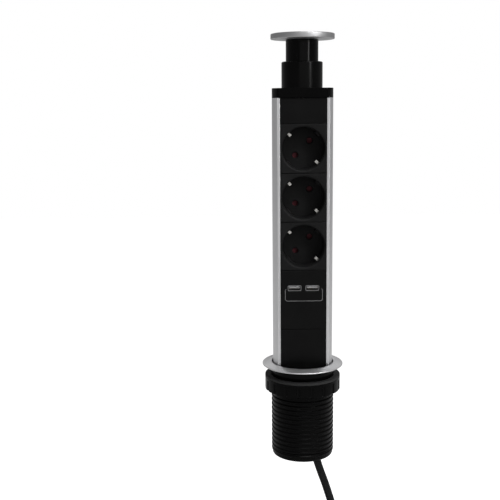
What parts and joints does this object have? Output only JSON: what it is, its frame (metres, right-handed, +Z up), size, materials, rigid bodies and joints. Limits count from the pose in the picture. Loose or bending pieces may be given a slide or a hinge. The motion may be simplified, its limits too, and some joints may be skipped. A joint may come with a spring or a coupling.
{
  "type": "pop up desk socket",
  "caption": "Pop-up desk socket tower with earthed sockets and charging ports, telescopic lid neck, flange ring, ribbed desk sleeve, clamp ring and mains cord with plug.",
  "frame": {"origin": "tower axis at the desk surface, where the flange ring rests", "axes": "+Z up along the tower, the flat socket face looks along -Y, +X to the right"},
  "size_m": [0.1237, 0.077, 0.6551],
  "materials": {
    "satin_aluminium": "satin",
    "black_plastic": "satin",
    "face_plastic": "fine matt",
    "inner_plastic": "matt",
    "red_plastic": "matt",
    "sprung_steel": "bright",
    "nickel": "bright",
    "brass": "bright",
    "board_green": "satin",
    "board_parts": "matt",
    "black_rubber": "matt",
    "grey_felt": "matt",
    "cord_black": "satin",
    "brown_wire": "satin",
    "blue_wire": "satin",
    "earth_wire_green": "satin"
  },
  "bodies": {
    "mount": {"flange_ring": "satin_aluminium", "ribbed_sleeve": "black_plastic", "guide_key": "black_plastic", "brake_pad": "grey_felt"},
    "clamp": {"clamp_ring": "black_plastic", "clamp_pad": "black_rubber"},
    "tower": {"tower_profile": "satin_aluminium", "top_collar": "black_plastic", "body_screws": "sprung_steel", "bulkhead": "inner_plastic", "latch_body": "sprung_steel", "top_blank_plate": "face_plastic", "socket_face_1": "face_plastic", "socket_face_2": "face_plastic", "socket_face_3": "face_plastic", "socket_base_1": "inner_plastic", "socket_base_2": "inner_plastic", "socket_base_3": "inner_plastic", "earth_stirrup_1": "nickel", "earth_stirrup_2": "nickel", "earth_stirrup_3": "nickel", "pin_contacts": "brass", "line_bar": "brass", "neutral_bar": "brass", "earth_bar": "brass", "usb_plate": "face_plastic", "usb_shells": "nickel", "usb_tongues": "inner_plastic", "usb_board": "board_green", "usb_parts": "board_parts", "bottom_blank_plate": "face_plastic", "bottom_cap": "black_plastic", "cord_gland": "black_plastic", "cord_clamp": "inner_plastic", "cord_end": "cord_black", "line_wire": "brown_wire", "neutral_wire": "blue_wire", "earth_wire": "earth_wire_green", "shutter_spring_1": "sprung_steel", "shutter_spring_2": "sprung_steel", "shutter_spring_3": "sprung_steel", "mains_cord": "cord_black", "cord_coil": "cord_black", "cord_drop": "cord_black", "cord_tie": "cord_black", "plug_relief": "cord_black", "plug_body": "cord_black", "plug_pins": "nickel", "plug_earth_strips": "nickel"},
    "shutter_a": {"shutter_1": "red_plastic"},
    "shutter_b": {"shutter_2": "red_plastic"},
    "shutter_c": {"shutter_3": "red_plastic"},
    "neck": {"outer_neck": "black_plastic", "spring_cup": "inner_plastic", "lower_spring": "sprung_steel"},
    "head": {"inner_neck": "black_plastic", "upper_spring": "sprung_steel", "latch_pin": "sprung_steel", "lid": "satin_aluminium"}
  },
  "joints": [
    {"name": "tower_slide", "type": "slide", "parent": "mount", "child": "tower", "axis": [0, 0, 1], "range_m": [-0.2602, 0]},
    {"name": "clamp_slide", "type": "slide", "parent": "mount", "child": "clamp", "axis": [0, 0, 1], "range_m": [-0.043, 0]},
    {"name": "neck_slide", "type": "slide", "parent": "tower", "child": "neck", "axis": [0, 0, 1], "range_m": [-0.0239, 0], "stiffness_N_per_m": 300, "springref_m": 0.03, "deforming": ["lower_spring"]},
    {"name": "head_slide", "type": "slide", "parent": "neck", "child": "head", "axis": [0, 0, 1], "range_m": [-0.0195, 0], "stiffness_N_per_m": 300, "springref_m": 0.03, "deforming": ["upper_spring"]},
    {"name": "shutter_1_slide", "type": "slide", "parent": "tower", "child": "shutter_a", "axis": [-0.7071, 0, 0.7071], "range_m": [0, 0.0059], "stiffness_N_per_m": 200, "springref_m": -0.002, "deforming": ["shutter_spring_1"]},
    {"name": "shutter_2_slide", "type": "slide", "parent": "tower", "child": "shutter_b", "axis": [-0.7071, 0, 0.7071], "range_m": [0, 0.0059], "stiffness_N_per_m": 200, "springref_m": -0.002, "deforming": ["shutter_spring_2"]},
    {"name": "shutter_3_slide", "type": "slide", "parent": "tower", "child": "shutter_c", "axis": [-0.7071, 0, 0.7071], "range_m": [0, 0.0059], "stiffness_N_per_m": 200, "springref_m": -0.002, "deforming": ["shutter_spring_3"]}
  ]
}
